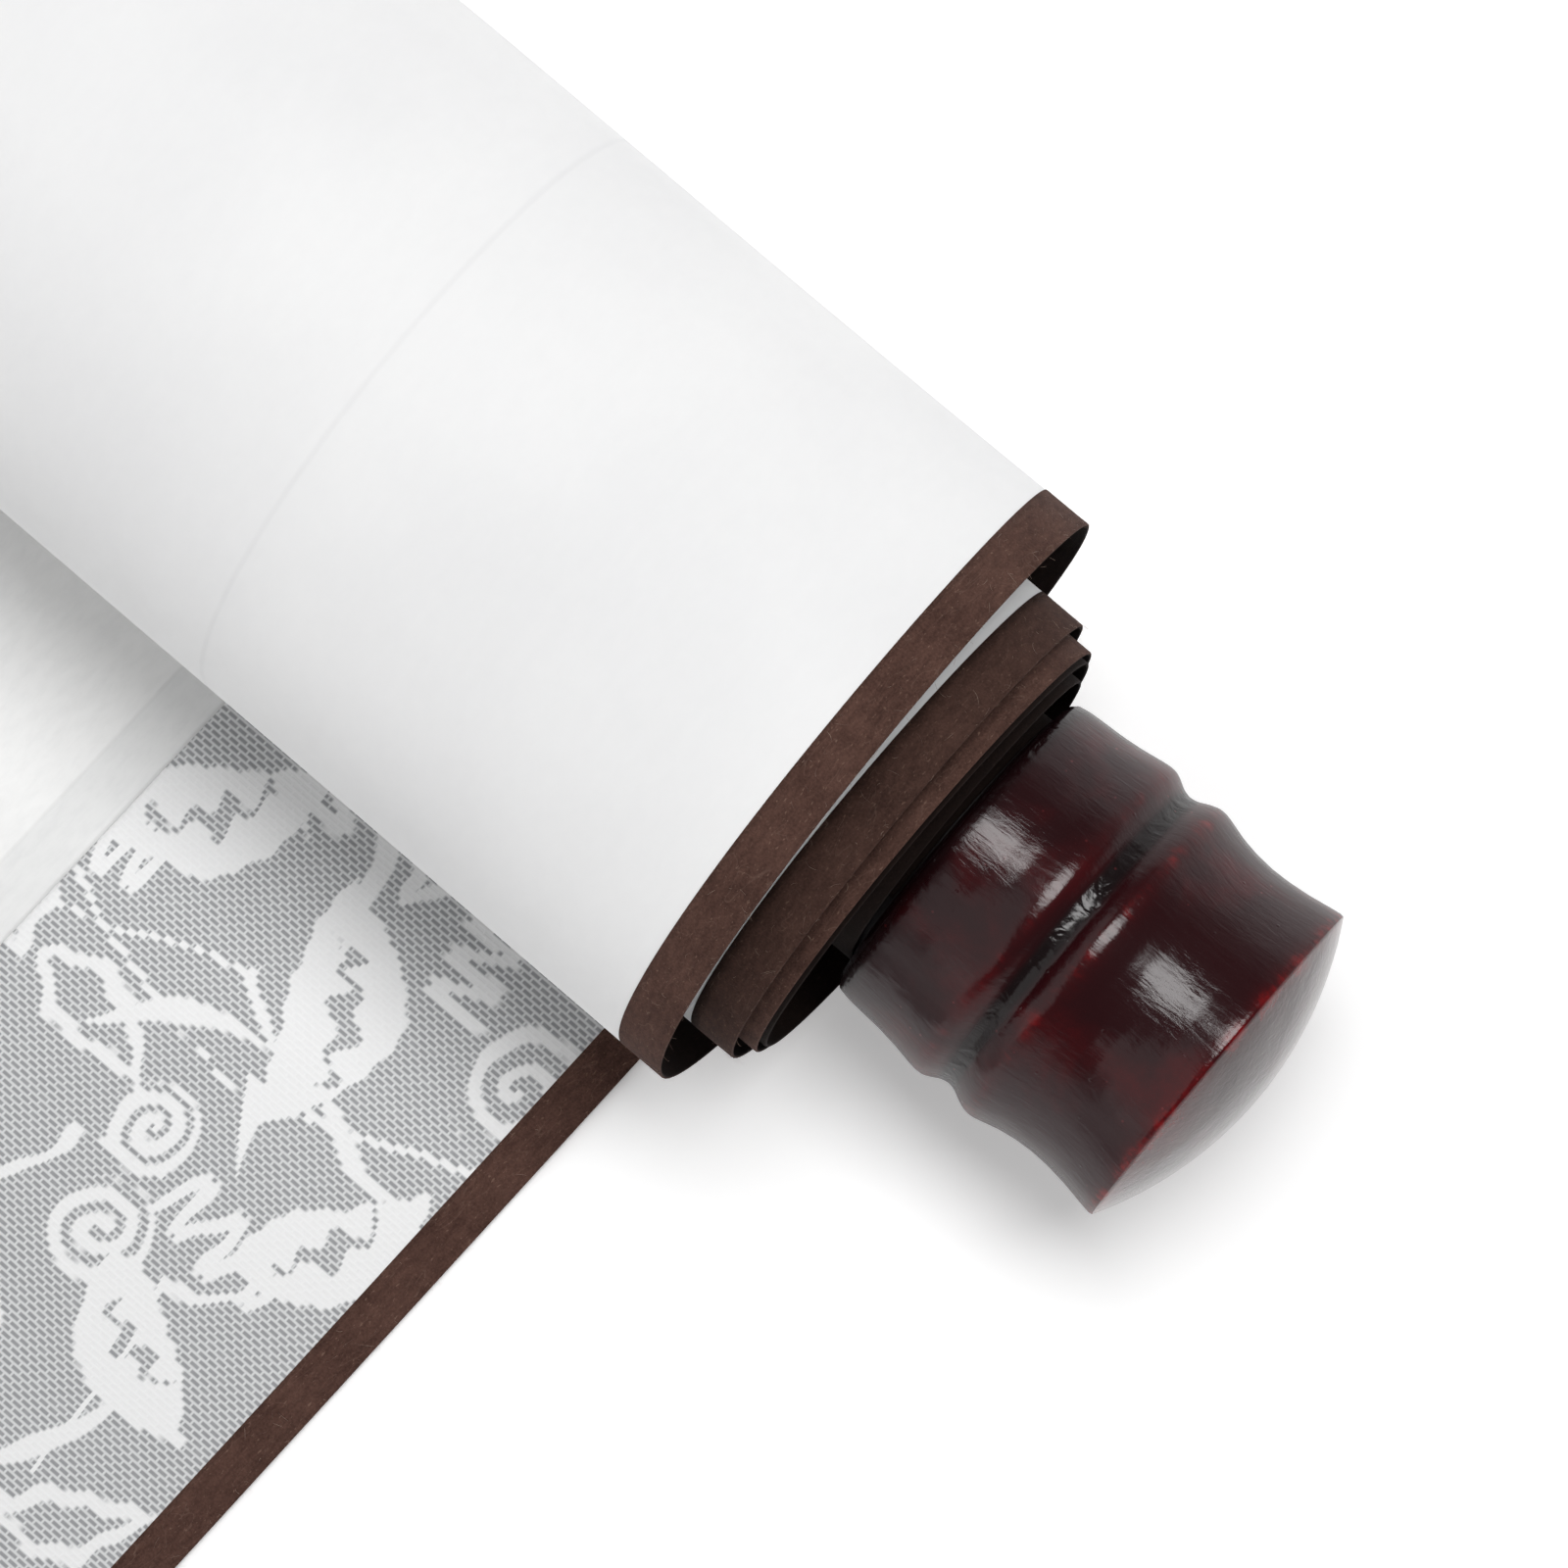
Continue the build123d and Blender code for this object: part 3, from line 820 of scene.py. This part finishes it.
def lacquer(name, coat, coatIor):
    f = Finish(name, False)
    rub, poolAndShade = f.mark("rub"), f.mark("poolAndShade")
    cloud = f.noise(9 * mm, 3, 0.55, (1, 1, 1), 0.4)
    mottle = f.noise(1.1 * mm, 4, 0.65)
    streak = f.noise(1.8 * mm, 3, 0.6, (0.5, 1, 1), 0.4)
    worn = (rub * (streak.rise(0.35, 0.7) * 0.6 + 0.4)).lower(1)
    red = cloud.rise(0.45, 0.68) * (mottle.rise(0.25, 0.7) * 0.5 + 0.5)
    # in the groove and at the shoulder the red is taken out: pooled lacquer and painted shade
    red = (red * 0.8 + worn * 0.9).lower(1) * (poolAndShade * -0.8 + 1).upper(0)
    colour = f.mix(red, tone(39, 7, 11), tone(70, 5, 10))
    bright = worn.rise(0.3, 0.95) * mottle.rise(0.36, 0.62)
    colour = f.mix(bright * 0.65, colour, tone(130, 16, 19))
    # painted shade, partly pooled lacquer: the groove and the shoulder beside the roll go near black
    colour = f.mix(poolAndShade.rise(0.25, 0.9) * 0.85, colour, tone(9, 5, 6))
    fleck = f.cells(1.5 * mm).rise(0.1, 0.04) * cloud.rise(0.4, 0.6)
    f.paint(f.mix(fleck * 0.25, colour, tone(150, 60, 64)))
    f.set(Roughness=0.5)
    f.shader.inputs["Specular IOR Level"].default_value = 0.04
    f.shader.inputs["Coat Weight"].default_value = coat
    f.shader.inputs["Coat Roughness"].default_value = 0.13
    f.shader.inputs["Coat IOR"].default_value = coatIor
    dust = f.cells(2.4 * mm).rise(0.07, 0.02)
    brush = f.noise(0.6 * mm, 5, 0.6, (0.25, 1, 1), 0.5)
    crinkle = f.noise(2.3 * mm, 2, 0.5, (0.8, 1, 1), 1.5)
    height = (f.noise(4 * mm, 1) * 1.1 + brush * 0.42 + dust * 0.2
              + crinkle * poolAndShade.rise(0.35, 1) * 2.0)
    f.bump(height, 0.09 * mm, coat=True)
    return f.material


def lintFibre():
    f = Finish("lintFibre", False)
    f.paint(f.mix(f.noise(1.5 * mm, 2).rise(0.4, 0.6), tone(168, 146, 132), tone(112, 88, 78)))
    f.set(Roughness=0.7)
    return f.material


def plainWood(name, light, dark, shadedEnds=None):
    f = Finish(name, False)
    rings = f.noise(3 * mm, 4, 0.6, (0.04, 1, 1), 0.8)
    pores = f.noise(0.5 * mm, 3, 0.6, (0.03, 1, 1))
    colour = f.mix(rings.rise(0.3, 0.7) * 0.7 + pores * 0.3, tone(*light), tone(*dark))
    if shadedEnds:
        # the wood is painted near black a little way in from each end, as shade where it shows in the
        # gap between the paper and the knobs
        fromMiddle = abs(f.parts()[0] - shadedEnds[0])
        endShade = fromMiddle.rise(shadedEnds[1] - 0.6 * mm, shadedEnds[1] + 0.6 * mm)
        colour = f.mix(endShade, colour, tone(17, 8, 8))
    f.paint(colour)
    f.set(Roughness=0.6)
    f.bump(pores * 0.6 + rings * 0.4, 0.05 * mm)
    return f.material


def drawnBrass():
    f = Finish("brassWire", False)
    tarnish = f.noise(1.5 * mm, 3)
    f.paint(f.mix(tarnish.rise(0.35, 0.7), tone(206, 168, 96), tone(150, 112, 60)))
    f.set(Metallic=1.0, Roughness=tarnish * 0.2 + 0.22)
    f.bump(f.noise(0.25 * mm, 2), 0.01 * mm)
    return f.material


def finishPiece(piece, material, nodes):
    piece.data.materials.clear()
    piece.data.materials.append(material)
    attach(piece, "root")
    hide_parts(*nodes)


def coatNode(name, material):
    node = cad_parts[name]
    node.data.materials.clear()
    node.data.materials.append(material)


finishPiece(makeBacking(), paperBack(), ["backing_paper"])
finishPiece(makePicture(), paperFace(), ["picture_paper"])
finishPiece(makeDamask(), damaskCloth(), ["damask_border"])
stripPaper = paperStrip()
finishPiece(makeStrip(1), stripPaper, ["edge_strip_right"])
finishPiece(makeStrip(-1), stripPaper, ["edge_strip_left"])
fibres = makeLint()
fibres.data.materials.append(lintFibre())
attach(fibres, "root")
print("papers laid")
sideCoat, domeCoat = lacquer("lacquer", 0.42, 1.7), lacquer("domeLacquer", 1.0, 1.56)
for side, node in ((1, "knob_right"), (-1, "knob_left")):
    cap = makeKnob(side)
    finishPiece(cap, sideCoat, [node])
    # the domed end is polished more than the side
    cap.data.materials.append(domeCoat)
    rimX = half * slant + knob["gap"][side] + knob["rim"] + side * wrapCreep * mm
    onDome = [abs(face.center.x) > rimX for face in cap.data.polygons]
    cap.data.polygons.foreach_set("material_index", np.array(onDome, np.int32))
rodEnds = [corner[0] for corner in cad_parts["roller_rod"].bound_box]
rodMiddle, rodReach = (min(rodEnds) + max(rodEnds)) / 2, (max(rodEnds) - min(rodEnds)) / 2
# the rod is painted dark over its last 26 mm at each end, painted shade where it shows beside the
# knobs
coatNode("roller_rod", plainWood("rollerWood", (196, 160, 116), (150, 112, 74),
                                 (rodMiddle, rodReach - 26 * mm)))
coatNode("top_batten", plainWood("battenWood", (204, 172, 130), (160, 124, 86)))
brass = drawnBrass()
coatNode("hanging_eye_left", brass)
coatNode("hanging_eye_right", brass)
print("knobs, roller and batten finished")

studio = {
    "floor": (250, 250, 250),
    "reach": 3.0,               # half the floor's side
    "glow": 0.26,               # the floor is a light table, this bright by itself
    "world": 0.9,
    "zenith": 0.12,             # how bright the sky is overhead, against the horizon
    # the lamp overhead that shines in the lacquer, the low wide one behind the roll and the
    # panel off its far end: width, depth, power, azimuth, elevation, distance
    "lights": {
        "softbox": (0.66, 0.43, 6.7, 183, 79, 1.0),
        "side": (1.6, 0.9, 0.8, 175, 26, 1.8),
        "fill": (3.4, 1.7, 12.5, -58, 44, 1.8),
    },
}
view = {
    "lens": 156.2,
    "aim": (half - 4.1 * mm, -2.8 * mm, 20 * mm),
    "azimuth": 40.6,
    "elevation": 81.2,
    "distance": 0.5,
}


def makeFloor():
    mesh = bpy.data.meshes.new("floor")
    reach = studio["reach"]
    mesh.from_pydata([(-reach, -reach, 0), (reach, -reach, 0), (reach, reach, 0), (-reach, reach, 0)],
                     [], [(0, 1, 2, 3)])
    floor = bpy.data.objects.new("floor", mesh)
    bpy.context.scene.collection.objects.link(floor)
    floor.location.z = cadLow.z - 0.02 * mm
    f = Finish("floorPaper", False)
    f.paint(f.mix(f.noise(0.4, 2), tone(*studio["floor"]), tone(252, 252, 252)))
    f.set(Roughness=0.9)
    f.shader.inputs["Specular IOR Level"].default_value = 0.0
    f.shader.inputs["Emission Color"].default_value = (1, 1, 1, 1)
    f.shader.inputs["Emission Strength"].default_value = studio["glow"]
    mesh.materials.append(f.material)


def towards(azimuth, elevation):
    # the unit vector to something seen at an azimuth, 0 being the front, and an elevation
    a, e = math.radians(azimuth), math.radians(elevation)
    return np.array([math.sin(a) * math.cos(e), -math.cos(a) * math.cos(e), math.sin(e)])


def makeLight(name, wide, deep, power, azimuth, elevation, distance):
    lamp = bpy.data.lights.new(name, "AREA")
    lamp.shape = "ELLIPSE" if name == "softbox" else "RECTANGLE"
    lamp.size, lamp.size_y = wide, deep
    lamp.energy = power
    body = bpy.data.objects.new(name, lamp)
    back = towards(azimuth, elevation)
    body.location = np.array((half, 0, 20 * mm)) + back * distance
    body.rotation_euler = Vector(-back).to_track_quat("-Z", "Y").to_euler()
    bpy.context.scene.collection.objects.link(body)


def makeWorld():
    # bright at the horizon and dim overhead, so that the lacquer stays deep
    world = bpy.data.worlds.new("studio")
    world.use_nodes = True
    bpy.context.scene.world = world
    tree = world.node_tree
    coords = tree.nodes.new("ShaderNodeTexCoord")
    split = tree.nodes.new("ShaderNodeSeparateXYZ")
    tree.links.new(coords.outputs["Generated"], split.inputs[0])
    up = Field(tree, split.outputs[2])
    strength = up.rise(0.5, 0.1) * (1 - studio["zenith"]) + studio["zenith"]
    sky = tree.nodes["Background"]
    sky.inputs["Color"].default_value = (1, 1, 1, 1)
    tree.links.new((strength * studio["world"]).socket, sky.inputs["Strength"])


def makeCamera():
    data = bpy.data.cameras.new("camera")
    camera = bpy.data.objects.new("camera", data)
    bpy.context.scene.collection.objects.link(camera)
    data.sensor_width = 36
    data.lens = view["lens"]
    back = towards(view["azimuth"], view["elevation"])
    camera.location = np.array(view["aim"]) + back * view["distance"]
    camera.rotation_euler = Vector(-back).to_track_quat("-Z", "Y").to_euler()
    data.clip_start = 0.01
    bpy.context.scene.camera = camera


makeFloor()
for name, numbers in studio["lights"].items():
    makeLight(name, *numbers)
makeWorld()
makeCamera()
bpy.context.scene.view_settings.view_transform = "Standard"
print("studio ready")
